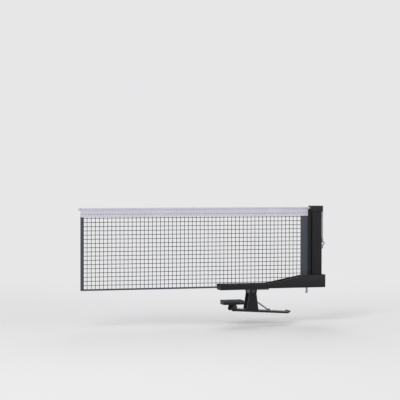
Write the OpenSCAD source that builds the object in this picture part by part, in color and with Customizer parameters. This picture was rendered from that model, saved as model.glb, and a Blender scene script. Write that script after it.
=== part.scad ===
// Clip-on table tennis net support: a sprung clamp, its post and the end of the net.
// X runs outwards from the table's edge, Y across the net, and Z up from the playing surface.
// Every size is in millimetres.

/* [Arm] */
// Width of the arm across the net
arm_w = 26; // [25:0.5:30]
// Thickness of the arm's sheet steel
arm_t = 1.5; // [1.2:0.1:1.8]
// Reach of the arm over the table
arm_reach = 48; // [44:1:60]
// Length of the arm beyond the post
arm_nose = 5.3; // [4.5:0.1:8]
// Height of the side walls over the table
wall_low = 9; // [7:0.5:12]
// Height of the side walls at the post
wall_high = 24; // [23:0.5:30]
// Distance from the table's edge to where the side walls start to rise
rise_start = 40; // [30:1:44]
// Length over which the side walls rise
rise_len = 91; // [75:1:94]

/* [Seat] */
// Thickness of the rubber strip that rests on the table
seat_t = 1.5; // [1:0.1:2.5]
// Length of the strip beyond the table's edge
seat_lip = 7.7; // [4:0.1:7.7]
// How far the strip stays inside the arm's sides
seat_margin = 0.4; // [0.2:0.1:1]
// Corner radius of the strip
seat_corner = 2; // [1:0.5:3]

/* [Pivot] */
// Distance from the table's edge to the pivot
pivot_x = 15.1; // [15.1:0.1:18]
// Depth of the pivot below the arm
pivot_drop = 4.8; // [4.8:0.1:6]
// Radius of the arm's lugs
lug_r = 7; // [6:0.1:7]
// Radius of the pivot pin
pin_r = 2; // [1.8:0.05:2.05]
// Radius of the pin's riveted heads
pin_head_r = 2.9; // [2.6:0.1:3.5]
// Thickness of the pin's riveted heads
pin_head_t = 1.2; // [0.8:0.1:1.6]
// Radius of the washers beside the cheeks
washer_r = 4.5; // [3.5:0.1:5.5]
// Thickness of the washers
washer_t = 0.4; // [0.3:0.05:0.6]
// Wall of the spacer sleeve between the cheeks
sleeve_t = 0.8; // [0.6:0.05:0.85]

/* [Pad] */
// Opening of the jaw at rest, the thickness of the table in it
jaw = 19.6; // [18:0.1:25]
// Length of the pad
pad_len = 38.9; // [36:0.1:40]
// Width of the pad
pad_w = 24; // [23:0.5:28]
// Distance from the table's edge in to the pad
pad_set = 2.5; // [1.5:0.1:4]
// Thickness of the pad's rubber
pad_rubber_t = 2.8; // [2:0.1:4]
// Depth of the pad's shoe
shoe_h = 5; // [4:0.1:7]
// Sheet thickness of the shoe and its ears
shoe_t = 1.8; // [1.5:0.1:2]
// Radius of the shoe's ears round the swivel pin
shoe_ear_r = 2.9; // [2.5:0.1:3]
// Radius of the swivel pin
swivel_r = 1.5; // [1.3:0.05:1.6]
// Distance from the table's edge in to the swivel
swivel_in = 19.8; // [18:0.1:22]
// Depth of the swivel below the shoe
swivel_drop = 4.3; // [4.3:0.1:5]

/* [Lever] */
// Width of the lever
lever_w = 24; // [23:0.5:26]
// Sheet thickness of the lever and its bracket
lever_t = 2; // [1.6:0.1:2.2]
// Depth of the lever's top face below the swivel
lever_below = 3.5; // [3.4:0.1:5]
// Slope of the lever, in degrees
lever_droop = 4.15; // [3:0.05:5]
// Depth of the lever's sides at the swivel
lever_depth = 4.2; // [3.6:0.1:6]
// Depth of the lever's sides at the finger end
tip_depth = 3.3; // [3:0.1:5]
// Distance from the table's edge to the finger end
lever_reach = 87; // [80:0.5:100]
// Rise of the finger lip above the lever
lip_h = 2.2; // [1.5:0.1:4]
// Radius of the lever's eyes round the swivel
eye_r = 3.9; // [3.6:0.05:3.9]
// Length of the oval hole in each eye
eye_slot_l = 8.2; // [7:0.1:8.6]
// Height of the oval hole in each eye
eye_slot_h = 4; // [3.8:0.1:4.4]
// Distance from the table's edge to the bracket's near side, on the lever
bracket_near = 3.2; // [2.5:0.1:5]
// Distance from the table's edge to the bracket's far side, on the lever
bracket_far = 26; // [24:0.5:30]
// Radius of the bracket's cheeks at the pivot
cheek_r = 6.3; // [5.5:0.1:6.3]
// Radius of the bracket's rivets
rivet_r = 1.6; // [1.2:0.1:2]

/* [Torsion spring] */
// Diameter of the spring's wire
wire_d = 2.8; // [2:0.1:2.8]
// Radius of the coil, to the middle of the wire
coil_r = 5; // [5:0.05:5.1]
// Least gap between neighbouring turns
coil_gap = 0.45; // [0.42:0.01:0.6]
// Whole turns of the coil, besides the part turn between its legs
coil_turns = 3; // [2:1:3]
// Distance from the table's edge to the end of the upper leg
upper_leg_x = 48; // [40:1:60]
// Depth below the pivot at which the lower leg bends
leg_bend_drop = 17.3; // [15:0.1:20]
// Slope of the lower leg beyond its bend, in degrees
leg_slope = 34.9; // [30:0.1:45]
// Length of the lower leg that lies on the lever
leg_foot = 5; // [3:0.5:8]

/* [Post] */
// Distance from the table's edge to the post's outer face
post_out = 152.5; // [150:0.5:160]
// Width of the post along the net
post_w = 19.7; // [19:0.1:22]
// Depth of the post across the net
post_d = 18; // [16:0.5:18]
// Wall of the post
post_t = 1.8; // [1.5:0.1:2]
// Corner radius of the post
post_corner = 2; // [1:0.5:3]
// Width of the slot that the net's edge goes through
post_slot = 3; // [2.4:0.1:4]
// Height of the cap
cap_h = 10.5; // [9:0.5:14]
// How far the cap stands above the net
cap_over = 2.1; // [1.5:0.1:4]
// Overhang of the cap towards the net
cap_in = 1.3; // [1:0.1:2]
// Overhang of the cap on the outer side
cap_out = 2.2; // [1.6:0.1:2.6]
// Overhang of the cap across the net
cap_side = 1.2; // [1:0.1:2]
/* [Post socket] */
// Floor of the socket, which holds the nut
floor_t = 4.2; // [4:0.1:5]
// Roof of the socket over the foot's lug
roof_t = 2; // [1.5:0.1:2.5]
// End wall of the socket on the net's side
socket_wall = 1.7; // [1.4:0.1:3]
// Running gap round the post in its socket
post_gap = 0.15; // [0.1:0.01:0.3]
// Radius of the socket's fixing screws
fix_r = 1.25; // [1:0.05:1.5]
// Thickness of the foot's lug
foot_t = 4; // [3:0.1:4.5]
// Height of the foot's plug inside the post
plug_h = 12; // [10:0.5:16]
// Radius of the pin through the foot
foot_pin_r = 1.25; // [1:0.05:1.5]

/* [Height screw] */
// Distance from the table's edge to the height screw
screw_x = 125.2; // [124.5:0.1:126]
// Radius of the screw's shank
screw_r = 2; // [1.8:0.05:2.1]
// Radius of the screw's neck in the foot
neck_r = 1.5; // [1.3:0.05:1.6]
// Radius of the screw's head
head_r = 2.6; // [2.5:0.1:4]
// Height of the screw's head
head_h = 3.5; // [2.5:0.1:5]
// Height that the screw can lift the post
lift = 6; // [4:0.1:6]
// Room left between the head and the arm at full lift
head_room = 1.8; // [1:0.1:3]
// Width of the square nut
nut_w = 7; // [6.5:0.1:7.5]
// Thickness of the square nut
nut_t = 3.2; // [2.8:0.1:3.4]

/* [Net] */
// Height of the net's top edge above the table
net_h = 152.5; // [150:0.5:156]
// Height of the net's lower edge above the table
net_z = 3.6; // [3.6:0.1:6]
// Length of the net over the table
net_reach = 302; // [250:1:320]
// Thickness of the net's twine
mesh_t = 0.8; // [0.6:0.1:1.2]
// Width of the net's strands
strand = 1.4; // [1:0.1:2]
// Openings along the net
gaps_x = 30; // [20:1:30]
// Openings up the net
gaps_z = 10; // [6:1:10]
// Height of the top band
band_h = 16.5; // [14:0.5:20]
// Thickness of the top band
band_t = 1.2; // [0.8:0.1:1.6]
// Wall of the hem round the cord
hem_t = 0.5; // [0.4:0.05:0.7]
// Distance from the post to the bands' end
band_gap = 5.7; // [4:0.1:8]
// Width of the side band
side_w = 14.2; // [10:0.1:16]
// Thickness of the side band and of the binding at the net's far end
side_t = 1.4; // [1:0.1:1.8]
// Width of the binding at the net's far end
binding_w = 6; // [4:0.5:12]
// Height of the tape along the lower edge
bottom_h = 2; // [1.5:0.1:4]
// Thickness of the edge tape
tape_t = 1; // [0.6:0.1:1.4]
// Radius of the rod in the edge tape
rod_r = 2; // [1.6:0.1:2.2]

/* [Cord and hook] */
// Diameter of the tension cord
cord_d = 2.2; // [1.8:0.1:2.2]
// Radius of the hook's wire
hook_r = 1.1; // [0.9:0.05:1.1]
// Radius of the ring's wire
ring_wire_r = 1.1; // [1:0.05:1.15]
// Radius of the ring, to the middle of its wire
ring_r = 3.1; // [3:0.05:3.2]
// Height of the ring's centre above the table
ring_z = 84.1; // [83.5:0.05:84.2]
// Distance from the post's outer face to the ring's centre
ring_out = 4.5; // [4.5:0.05:4.7]
// Radius of the hook's claw about the ring's centre
claw_r = 10.2; // [10:0.05:11]

/* [Hidden] */
$fn = 64;
eps = 1;                                  // how far a cut runs past a face
slip = 0.02;                              // radial gap of a pin that is held
run = 0.05;                               // radial gap of a pin that turns

// Arm: its underside lies on the seat strip, and the base is the channel's floor.
arm_end = post_out + arm_nose;
base_z = seat_t + arm_t;
arm_in = arm_w / 2 - arm_t;               // inner half width
pivot_z = seat_t - pivot_drop;
window = cheek_r + 1.5;                   // half length of the base's window round the pivot
rise_steps = 12;
rise_ease = 0.15;                         // share of the rise that curves at each end

// Stack at the pivot, from the middle outwards.
cheek_out = arm_in - washer_t - 0.1;
cheek_in = cheek_out - lever_t;
side_play = 0.05;
sleeve_r = pin_r + run + sleeve_t;

// Pad and swivel, from the table's underside down.
shoe_z = -jaw - pad_rubber_t;             // top of the shoe
swivel_z = shoe_z - shoe_h - swivel_drop;
shoe_ear_out = lever_w / 2 - lever_t - 0.4;
heel = 3;                                 // how far the eyes reach back from the swivel
plate_start = 6.5 - swivel_in;            // where the lever's top plate begins
bush_flange_t = 0.25;
bush_flange_over = 0.6;

// Lever: the top face is a sloping line, and its sides taper towards the finger end.
function lever_top(x) = swivel_z - lever_below - (x + swivel_in) * tan(lever_droop);
function lever_low(x) =
    lever_top(x) - lever_depth + (lever_depth - tip_depth) * (x + swivel_in) / (lever_reach + swivel_in);
rivet_places = [bracket_near + 6.5, bracket_far - 6.5];
rivet_head_r = rivet_r + 1;
rivet_head_t = 1.1;

// Torsion spring, as a list of points along the middle of its wire.
wire_r = wire_d / 2;
touch = 0.1;                              // gap between a leg and what it presses on
coil_from = 60;                           // angle at which the upper leg meets the coil
coil_to = 219.7 + 360 * coil_turns;       // angle at which the lower leg leaves it
coil_pitch = wire_d + coil_gap;
coil_y = coil_pitch * (coil_to - coil_from) / 720;
curl_rings = 8;
function coil_point(a) = [
    pivot_x + coil_r * cos(a),
    -coil_y + coil_pitch * (a - coil_from) / 360,
    pivot_z + coil_r * sin(a)
];
upper_z = seat_t - wire_r - touch;
upper_start = coil_point(coil_from);
upper_bend_x = upper_start.x + (upper_start.z - upper_z) / tan(90 - coil_from);
lower_start = coil_point(coil_to);
lower_bend_z = pivot_z - leg_bend_drop;
lower_bend_x = lower_start.x + (lower_start.z - lower_bend_z) / tan(270 - coil_to % 360);
foot_line = lever_top(0) + wire_r + touch;
foot_x = (lower_bend_z + tan(leg_slope) * lower_bend_x - foot_line) / (tan(leg_slope) - tan(lever_droop));
function foot_point(x) = [x, coil_y, foot_line - x * tan(lever_droop)];
coil_steps = ceil((coil_to - coil_from) * curl_rings / 360);
spring_points = [
    [upper_leg_x, -coil_y, upper_z],
    [upper_bend_x, -coil_y, upper_z],
    for (k = [0 : coil_steps]) coil_point(coil_from + (coil_to - coil_from) * k / coil_steps),
    [lower_bend_x, coil_y, lower_bend_z],
    foot_point(foot_x),
    foot_point(foot_x + leg_foot)
];
spring_least = min([
    for (i = [0 : len(spring_points) - 1])
        for (j = [i + 2 : len(spring_points) - 1]) norm(spring_points[i] - spring_points[j])
]) - wire_d;
echo(torsion_spring_least_gap = spring_least);

// Post, socket and height screw, from the channel's floor up.
post_in = post_out - post_w;
floor_z = base_z + floor_t;
foot_z = floor_z + 0.2;
post_z = foot_z + foot_t;
clip_t = 0.6;
clip_z = post_z + 0.1;
screw_top = clip_z + clip_t + 0.8;
roof_z = screw_top + lift + 0.3;
socket_top = seat_t + wall_high - 0.8;
foot_near = screw_x - 2 * neck_r - 1.7;       // end of the foot's lug
socket_near = foot_near - 0.3 - socket_wall;
cap_top = net_h + cap_over;
cap_z = cap_top - cap_h;
head_z = seat_t - head_room - lift;       // top of the screw's head
fix_places = [post_in + 3.2, post_out - 3.5];
post_mid = (post_in + post_out) / 2;
pin_height = post_z + plug_h / 2;

// Net and its bands.
cord_r = cord_d / 2;
hem_bore = cord_r + 0.2;
hem_r = hem_bore + hem_t;
cord_z = net_h - hem_r;
band_end = post_in - band_gap;
band_low = net_h - band_h;
side_near = band_end - side_w;
side_z = roof_z + roof_t + 0.3;
mesh_z = net_z + bottom_h;
mesh_l = side_near + net_reach;
mesh_h = band_low - mesh_z;
gap_l = (mesh_l - (gaps_x + 1) * strand) / gaps_x;
gap_h = (mesh_h - (gaps_z + 1) * strand) / gaps_z;
tape_z = max(side_z, post_z + plug_h) + 0.6;
rod_x = post_in + post_t + rod_r + 1.4;
rod_sleeve_r = rod_r + run + tape_t;
groove_z = cord_z - cord_r - 0.2;         // floor of the cap's groove
post_top = groove_z - 1;

// The cord's route, and the rounding of the cap that it bends over.
cord_route = [
    [-308, 0, 150.7], [-260, 0, 150.7], [-210, 0, 150.7], [-160, 0, 150.7], [-110, 0, 150.7],
    [-60, 0, 150.7], [-10, 0, 150.7], [40, 0, 150.7], [90, 0, 150.7], [127, 0, 150.7],
    [140, 0, 150.7], [152, 0, 150.7], [153.9, 0, 150.3], [155.5, 0, 149.2], [156.6, 0, 147.6],
    [157, 0, 145.7], [157, 0, 138], [157, 0, 128], [157, 0, 118], [157, 0, 108],
    [157, 0, 98], [157, 0, 88.5]
];
cord_step = 7;                            // largest distance between the cord's rings
cord_bend = 5;
function between(a, b) =
    let (n = ceil(norm(b - a) / cord_step)) [for (k = [0 : n - 1]) a + (b - a) * k / n];
cord_points = [
    for (i = [1 : len(cord_route) - 1]) each between(cord_route[i - 1], cord_route[i]),
    cord_route[len(cord_route) - 1]
];

// Hook, drawn about the ring's centre: shank, elbow and a claw that is round about that centre.
ring_x = post_out + ring_out;
elbow_r = 2;
elbow_x = -elbow_r;
elbow_z = -sqrt(pow(claw_r - elbow_r, 2) - pow(elbow_r, 2));
claw_from = atan2(elbow_z, elbow_x) + 360;
claw_to = 220;
weld = 0.05;                              // how far the bead between elbow and claw stands proud
hook_play = 0.3;                          // gap round the claw in its slot
hook_slot_low = ring_z - sqrt(pow(claw_r + hook_r, 2) - pow(ring_out, 2)) - hook_play;
hook_slot_top = ring_z - sqrt(pow(claw_r - hook_r, 2) - pow(ring_out + post_t, 2)) + hook_play;

// ---- shared shapes ----

function unit(v) = v / norm(v);

// Share of a rise at t, with both ends eased.
function ramp(t, e) =
    t < e ? t * t / (2 * e * (1 - e))
    : t > 1 - e ? 1 - pow(1 - t, 2) / (2 * e * (1 - e))
    : (t - e / 2) / (1 - e);

// Point where a line from p touches the circle of radius r about c, on side s.
function tangent(p, c, r, s) =
    let (d = p - c, a = atan2(d.y, d.x) + s * acos(r / norm(d))) c + r * [cos(a), sin(a)];

module box(x0, x1, y0, y1, z0, z1)
    translate([x0, y0, z0]) cube([x1 - x0, y1 - y0, z1 - z0]);

// A flat outline drawn in X and Z, as a plate from y0 to y1.
module plate(y0, y1)
    translate([0, y1, 0]) rotate([90, 0, 0]) linear_extrude(y1 - y0) children();

module both_sides() {
    children();
    mirror([0, 1, 0]) children();
}

// A round bar across the net.
module cross_bar(x, z, y0, y1, r)
    translate([x, y0, z]) rotate([-90, 0, 0]) cylinder(h = y1 - y0, r = r);

// A flat bar with round ends, from p to q.
module bar_2d(p, q, r) {
    d = q - p;
    translate(p) circle(r);
    translate(q) circle(r);
    translate(p) rotate(atan2(d.y, d.x)) translate([0, -r]) square([norm(d), 2 * r]);
}

module round_rect(x0, x1, y0, y1, r) {
    translate([x0 + r, y0]) square([x1 - x0 - 2 * r, y1 - y0]);
    translate([x0, y0 + r]) square([x1 - x0, y1 - y0 - 2 * r]);
    for (x = [x0 + r, x1 - r], y = [y0 + r, y1 - r]) translate([x, y]) circle(r);
}

// A round tube along points that lie mostly in X and Z, closed at both ends.
module tube(points, r, sides) {
    last = len(points) - 1;
    function heading(i) =
        i == 0 ? unit(points[1] - points[0])
        : i == last ? unit(points[last] - points[last - 1])
        : unit(unit(points[i] - points[i - 1]) + unit(points[i + 1] - points[i]));
    rings = [
        for (i = [0 : last])
            let (t = heading(i), u = unit(cross(t, [0, 1, 0])), v = cross(t, u))
                for (k = [0 : sides - 1])
                    points[i] + r * (cos(360 * k / sides) * u + sin(360 * k / sides) * v)
    ];
    walls = [
        for (i = [0 : last - 1])
            for (k = [0 : sides - 1])
                let (a = i * sides + k, b = i * sides + (k + 1) % sides)
                    each [[a, a + sides, b], [b, a + sides, b + sides]]
    ];
    ends = [
        for (k = [1 : sides - 2])
            each [[0, k, k + 1], [last * sides, last * sides + k + 1, last * sides + k]]
    ];
    polyhedron(rings, concat(walls, ends));
}

// ---- arm ----

module arm_wall_2d() {
    polygon([
        [-arm_reach, seat_t],
        [arm_end, seat_t],
        [arm_end, seat_t + wall_high],
        for (k = [rise_steps : -1 : 0])
            let (t = k / rise_steps)
                [rise_start + rise_len * t, seat_t + wall_low + (wall_high - wall_low) * ramp(t, rise_ease)],
        [-arm_reach, seat_t + wall_low]
    ]);
    translate([pivot_x, pivot_z]) circle(lug_r);
    translate([pivot_x - lug_r, pivot_z]) square([2 * lug_r, base_z - pivot_z]);
}

module arm_channel() color([0.08, 0.08, 0.1]) difference() {
    union() {
        both_sides() plate(arm_in, arm_w / 2) arm_wall_2d();
        box(-arm_reach, arm_end, -arm_w / 2, arm_w / 2, seat_t, base_z);
        box(arm_end - arm_t, arm_end, -arm_w / 2, arm_w / 2, seat_t, seat_t + wall_high);
    }
    box(pivot_x - window, pivot_x + window, -arm_in, arm_in, seat_t - eps, base_z + eps);
    cross_bar(pivot_x, pivot_z, -arm_w, arm_w, pin_r + slip);
    translate([screw_x, 0, seat_t - eps]) cylinder(h = arm_t + 2 * eps, r = screw_r + 0.4);
    for (x = fix_places) translate([x, 0, seat_t]) fix_cone(slip);
}

// Countersunk head of a fixing screw, flush with the arm's underside.
module fix_cone(gap) {
    cylinder(h = arm_t, r1 = fix_r + arm_t + gap, r2 = fix_r + gap);
    translate([0, 0, -eps]) cylinder(h = eps, r = fix_r + arm_t + gap);
    translate([0, 0, arm_t - slip]) cylinder(h = eps, r = fix_r + gap);
}

module seat_pad() color([0.16, 0.16, 0.18]) linear_extrude(seat_t)
    round_rect(-arm_reach, seat_lip, seat_margin - arm_w / 2, arm_w / 2 - seat_margin, seat_corner);

module post_socket() color([0.1, 0.1, 0.12]) difference() {
    union() {
        box(socket_near, post_in - post_gap, -arm_in, arm_in, base_z, roof_z + roof_t);
        box(post_in - post_gap, arm_end - arm_t, -arm_in, arm_in, base_z, socket_top);
    }
    box(post_in - post_gap, post_out + post_gap, -post_d / 2 - post_gap, post_d / 2 + post_gap,
        floor_z, socket_top + eps);
    box(foot_near - 0.3, post_in, -post_d / 2 - post_gap, post_d / 2 + post_gap, floor_z, roof_z);
    box(screw_x - nut_w / 2 - run, screw_x + nut_w / 2 + run, -nut_w / 2 - run, nut_w / 2 + run,
        base_z - eps, base_z + nut_t + run);
    translate([screw_x, 0, base_z]) cylinder(h = floor_t + eps, r = screw_r + 0.4);
    for (x = fix_places) translate([x, 0, base_z - eps]) cylinder(h = floor_t + eps - 0.7, r = fix_r + slip);
}

module socket_screws() color("silver")
    for (x = fix_places) translate([x, 0, seat_t]) difference() {
        union() {
            cylinder(h = arm_t, r1 = fix_r + arm_t, r2 = fix_r);
            cylinder(h = arm_t + floor_t - 1, r = fix_r);
        }
        for (a = [0, 90]) rotate(a) translate([-fix_r, -0.3, -eps]) cube([2 * fix_r, 0.6, eps + 0.8]);
    }

module height_nut() color("silver") difference() {
    box(screw_x - nut_w / 2, screw_x + nut_w / 2, -nut_w / 2, nut_w / 2, base_z, base_z + nut_t);
    translate([screw_x, 0, base_z - eps]) cylinder(h = nut_t + 2 * eps, r = screw_r + run);
}

module pivot_pin() color("silver") {
    cross_bar(pivot_x, pivot_z, -arm_w / 2 - pin_head_t, arm_w / 2 + pin_head_t, pin_r);
    both_sides() cross_bar(pivot_x, pivot_z, arm_w / 2, arm_w / 2 + pin_head_t, pin_head_r);
}

module torsion_spring() color("silver") tube(spring_points, wire_r, 6);

// ---- lever ----

module eye_2d(shrink) {
    half = eye_slot_h / 2;
    near = swivel_r + 0.6 - half;
    bar_2d([-swivel_in - eye_slot_l + 2 * half + near, swivel_z], [-swivel_in + near, swivel_z], half - shrink);
}

module lever_side_2d() difference() {
    union() {
        bar_2d([-swivel_in, swivel_z], [-swivel_in - heel, lever_low(-swivel_in - heel) + eye_r - 0.3], eye_r);
        polygon([
            [-swivel_in - heel, lever_low(-swivel_in - heel)],
            [lever_reach - 3, lever_low(lever_reach - 3)],
            [lever_reach - 1.5, lever_top(lever_reach) - lever_t / 2],
            [lever_reach - 1.5, lever_top(lever_reach - 1.5)],
            [-swivel_in - heel, lever_top(-swivel_in - heel)]
        ]);
    }
    eye_2d(0);
}

module lever_plate_2d() {
    polygon([
        [plate_start, lever_top(plate_start)],
        [lever_reach, lever_top(lever_reach)],
        [lever_reach, lever_top(lever_reach) - lever_t],
        [plate_start, lever_top(plate_start) - lever_t]
    ]);
    bar_2d([lever_reach - lever_t / 2, lever_top(lever_reach) - lever_t / 2],
        [lever_reach + lip_h - lever_t / 2, lever_top(lever_reach) + lip_h - lever_t / 2], lever_t / 2 - 0.1);
}

// Places a rivet square to the lever's top face.
module at_rivets() for (x = rivet_places)
    translate([x, 0, lever_top(x)]) rotate([0, lever_droop, 0]) children();

module release_lever() color([0.1, 0.1, 0.12]) difference() {
    union() {
        both_sides() plate(lever_w / 2 - lever_t, lever_w / 2) lever_side_2d();
        plate(-lever_w / 2, lever_w / 2) lever_plate_2d();
    }
    at_rivets() cylinder(h = 4 * lever_t, r = rivet_r + slip, center = true);
}

module cheek_2d() difference() {
    pivot = [pivot_x, pivot_z];
    near = [bracket_near, lever_top(bracket_near)];
    far = [bracket_far, lever_top(bracket_far)];
    union() {
        translate(pivot) circle(cheek_r);
        polygon([near, far, tangent(far, pivot, cheek_r - slip, 1), tangent(near, pivot, cheek_r - slip, -1)]);
    }
    translate(pivot) circle(pin_r + run);
}

module pivot_bracket() color([0.12, 0.12, 0.14]) difference() {
    union() {
        both_sides() plate(cheek_in, cheek_out) cheek_2d();
        plate(-cheek_out, cheek_out) polygon([
            [bracket_near, lever_top(bracket_near)],
            [bracket_far, lever_top(bracket_far)],
            [bracket_far, lever_top(bracket_far) + lever_t],
            [bracket_near, lever_top(bracket_near) + lever_t]
        ]);
    }
    at_rivets() cylinder(h = 4 * lever_t, r = rivet_r + slip, center = true);
}

module bracket_rivets() color("silver") at_rivets() {
    translate([0, 0, -lever_t - rivet_head_t]) cylinder(h = rivet_head_t, r = rivet_head_r);
    translate([0, 0, -lever_t - rivet_head_t]) cylinder(h = 2 * lever_t + 2 * rivet_head_t, r = rivet_r);
    translate([0, 0, lever_t]) cylinder(h = rivet_head_t, r = rivet_head_r);
}

module pivot_sleeve() color("silver") difference() {
    cross_bar(pivot_x, pivot_z, side_play - cheek_in, cheek_in - side_play, sleeve_r);
    cross_bar(pivot_x, pivot_z, -arm_w, arm_w, pin_r + run);
}

module pivot_washers() color("white") both_sides() difference() {
    cross_bar(pivot_x, pivot_z, cheek_out + side_play, arm_in - side_play, washer_r);
    cross_bar(pivot_x, pivot_z, -arm_w, arm_w, pin_r + run);
}

module swivel_bushes() color([0.8, 0.8, 0.78]) both_sides() difference() {
    union() {
        plate(lever_w / 2 - lever_t, lever_w / 2) eye_2d(slip);
        plate(lever_w / 2 - lever_t - bush_flange_t, lever_w / 2 - lever_t) eye_2d(-bush_flange_over);
    }
    cross_bar(-swivel_in, swivel_z, -lever_w, lever_w, swivel_r + run);
}

// ---- pad ----

module pad_shoe() color([0.12, 0.12, 0.14]) difference() {
    pad_near = -pad_set - pad_len;
    union() {
        difference() {
            box(pad_near, -pad_set, -pad_w / 2, pad_w / 2, shoe_z - shoe_h, shoe_z);
            box(pad_near + shoe_t, -pad_set - shoe_t, shoe_t - pad_w / 2, pad_w / 2 - shoe_t,
                shoe_z - shoe_h - eps, shoe_z - shoe_t);
        }
        both_sides() plate(shoe_ear_out - shoe_t, shoe_ear_out) {
            translate([-swivel_in, swivel_z]) circle(shoe_ear_r);
            translate([-swivel_in - shoe_ear_r, swivel_z])
                square([2 * shoe_ear_r, shoe_z - shoe_t - swivel_z]);
        }
    }
    cross_bar(-swivel_in, swivel_z, -lever_w, lever_w, swivel_r + slip);
}

module pad_rubber() color([0.35, 0.37, 0.42])
    box(-pad_set - pad_len, -pad_set, -pad_w / 2, pad_w / 2, shoe_z, -jaw);

module swivel_pin() color("silver") {
    cross_bar(-swivel_in, swivel_z, -lever_w / 2 - 0.7, lever_w / 2 + 0.7, swivel_r);
    both_sides() cross_bar(-swivel_in, swivel_z, lever_w / 2 + 0.1, lever_w / 2 + 0.7, swivel_r + 0.4);
}

// ---- post ----

module post_profile() color([0.09, 0.09, 0.11]) difference() {
    translate([0, 0, post_z]) linear_extrude(post_top - post_z) difference() {
        round_rect(post_in, post_out, -post_d / 2, post_d / 2, post_corner);
        translate([post_in + post_t, post_t - post_d / 2])
            square([post_w - 2 * post_t, post_d - 2 * post_t]);
        translate([post_in - eps, -post_slot / 2]) square([post_t + 2 * eps, post_slot]);
    }
    box(post_out - post_t - eps, post_out + eps, -hook_r - hook_play, hook_r + hook_play,
        hook_slot_low, hook_slot_top);
    cross_bar(post_mid, pin_height, -post_d, post_d, foot_pin_r + slip);
}

module post_cap() color([0.09, 0.09, 0.11]) difference() {
    bend_x = cord_route[11].x;
    bend_z = groove_z - cord_bend + cord_r + 0.2;
    groove = cord_r + 0.3;
    side = post_d / 2 + cap_side;
    translate([0, 0, cap_z]) linear_extrude(cap_h)
        round_rect(post_in - cap_in, post_out + cap_out, -side, side, post_corner + 0.5);
    box(post_in - slip, post_out + slip, -post_d / 2 - slip, post_d / 2 + slip, cap_z - eps, post_top);
    box(post_in - cap_in - eps, post_in + eps, -tape_t, tape_t, cap_z - eps, post_top);
    box(post_in - cap_in - eps, bend_x, -groove, groove, groove_z, cap_top + eps);
    difference() {
        box(bend_x, post_out + cap_out + eps, -groove, groove, bend_z, cap_top + eps);
        cross_bar(bend_x, bend_z, -groove, groove, cord_bend - cord_r - 0.2);
    }
}

module post_foot() color([0.1, 0.1, 0.12]) difference() {
    half = post_d / 2 - post_t - 0.1;
    union() {
        box(foot_near, post_out - 0.1, 0.1 - post_d / 2, post_d / 2 - 0.1, foot_z, post_z);
        box(post_in + post_t + 0.1, post_out - post_t - 0.1, -half, half, post_z, post_z + plug_h);
    }
    translate([screw_x, 0, foot_z - eps]) cylinder(h = foot_t + 2 * eps, r = neck_r + run);
    cross_bar(post_mid, pin_height, -post_d, post_d, foot_pin_r + slip);
}

module foot_pin() color("silver")
    cross_bar(post_mid, pin_height, 0.1 - post_d / 2, post_d / 2 - 0.1, foot_pin_r);

// ---- net ----

module net_mesh() color([0.2, 0.22, 0.27]) plate(-mesh_t / 2, mesh_t / 2) difference() {
    translate([-net_reach, mesh_z]) square([mesh_l, mesh_h]);
    for (i = [0 : gaps_x - 1], j = [0 : gaps_z - 1])
        translate([-net_reach + strand + i * (gap_l + strand), mesh_z + strand + j * (gap_h + strand)])
            square([gap_l, gap_h]);
}

module net_top_band() color([0.92, 0.92, 0.95])
    translate([-net_reach - binding_w, 0, 0]) rotate([90, 0, 90])
        linear_extrude(band_end + net_reach + binding_w) difference() {
            union() {
                translate([0, cord_z]) circle(hem_r);
                translate([-band_t / 2, band_low]) square([band_t, cord_z - band_low]);
            }
            translate([0, cord_z]) circle(hem_bore);
        }

module net_side_band() color([0.3, 0.33, 0.38])
    box(side_near, band_end, -side_t / 2, side_t / 2, side_z, band_low);

module net_end_binding() color([0.3, 0.33, 0.38])
    box(-net_reach - binding_w, -net_reach, -side_t / 2, side_t / 2, net_z, band_low);

module net_bottom_tape() color([0.2, 0.22, 0.27])
    box(-net_reach, side_near, -side_t / 2, side_t / 2, net_z, mesh_z);

module net_edge_tape() color([0.05, 0.05, 0.07])
    translate([0, 0, tape_z]) linear_extrude(post_top - 0.5 - tape_z) difference() {
        union() {
            translate([band_end, -tape_t / 2]) square([rod_x - band_end, tape_t]);
            translate([rod_x, 0]) circle(rod_sleeve_r);
        }
        translate([rod_x, 0]) circle(rod_r + run);
    }

module net_edge_rod() color("silver")
    translate([rod_x, 0, post_z + plug_h + 0.1]) cylinder(h = post_top - 0.2 - post_z - plug_h, r = rod_r);

// ---- cord and hook ----

module tension_cord() color("white") tube(cord_points, cord_r, 8);

// The knot that stops the cord at the net's far end, flat where it bears on the hem.
module cord_stop() color("white") difference() {
    knot_r = hem_bore + 0.9;
    start = cord_route[0];
    translate(start - [knot_r - 0.6, 0, 0]) sphere(knot_r);
    translate(start + [0, -knot_r, -knot_r]) cube(2 * knot_r);
}

module tension_hook() color("silver") translate([ring_x, 0, ring_z]) rotate([90, 0, 0]) {
    rotate_extrude() translate([ring_r, 0]) circle(ring_wire_r);
    translate([0, -ring_r, 0]) rotate([90, 0, 0]) cylinder(h = -elbow_z - ring_r, r = hook_r);
    translate([elbow_x, elbow_z, 0]) rotate([0, 0, claw_from]) rotate_extrude(angle = 360 - claw_from)
        translate([elbow_r, 0]) circle(hook_r);
    rotate([0, 0, claw_to]) rotate_extrude(angle = claw_from - claw_to)
        translate([claw_r, 0]) circle(hook_r);
    rotate([0, 0, claw_to]) translate([claw_r, 0, 0]) sphere(hook_r);
    rotate([0, 0, claw_from]) translate([claw_r, 0, 0]) sphere(hook_r + weld);
}

// ---- height screw ----

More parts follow.
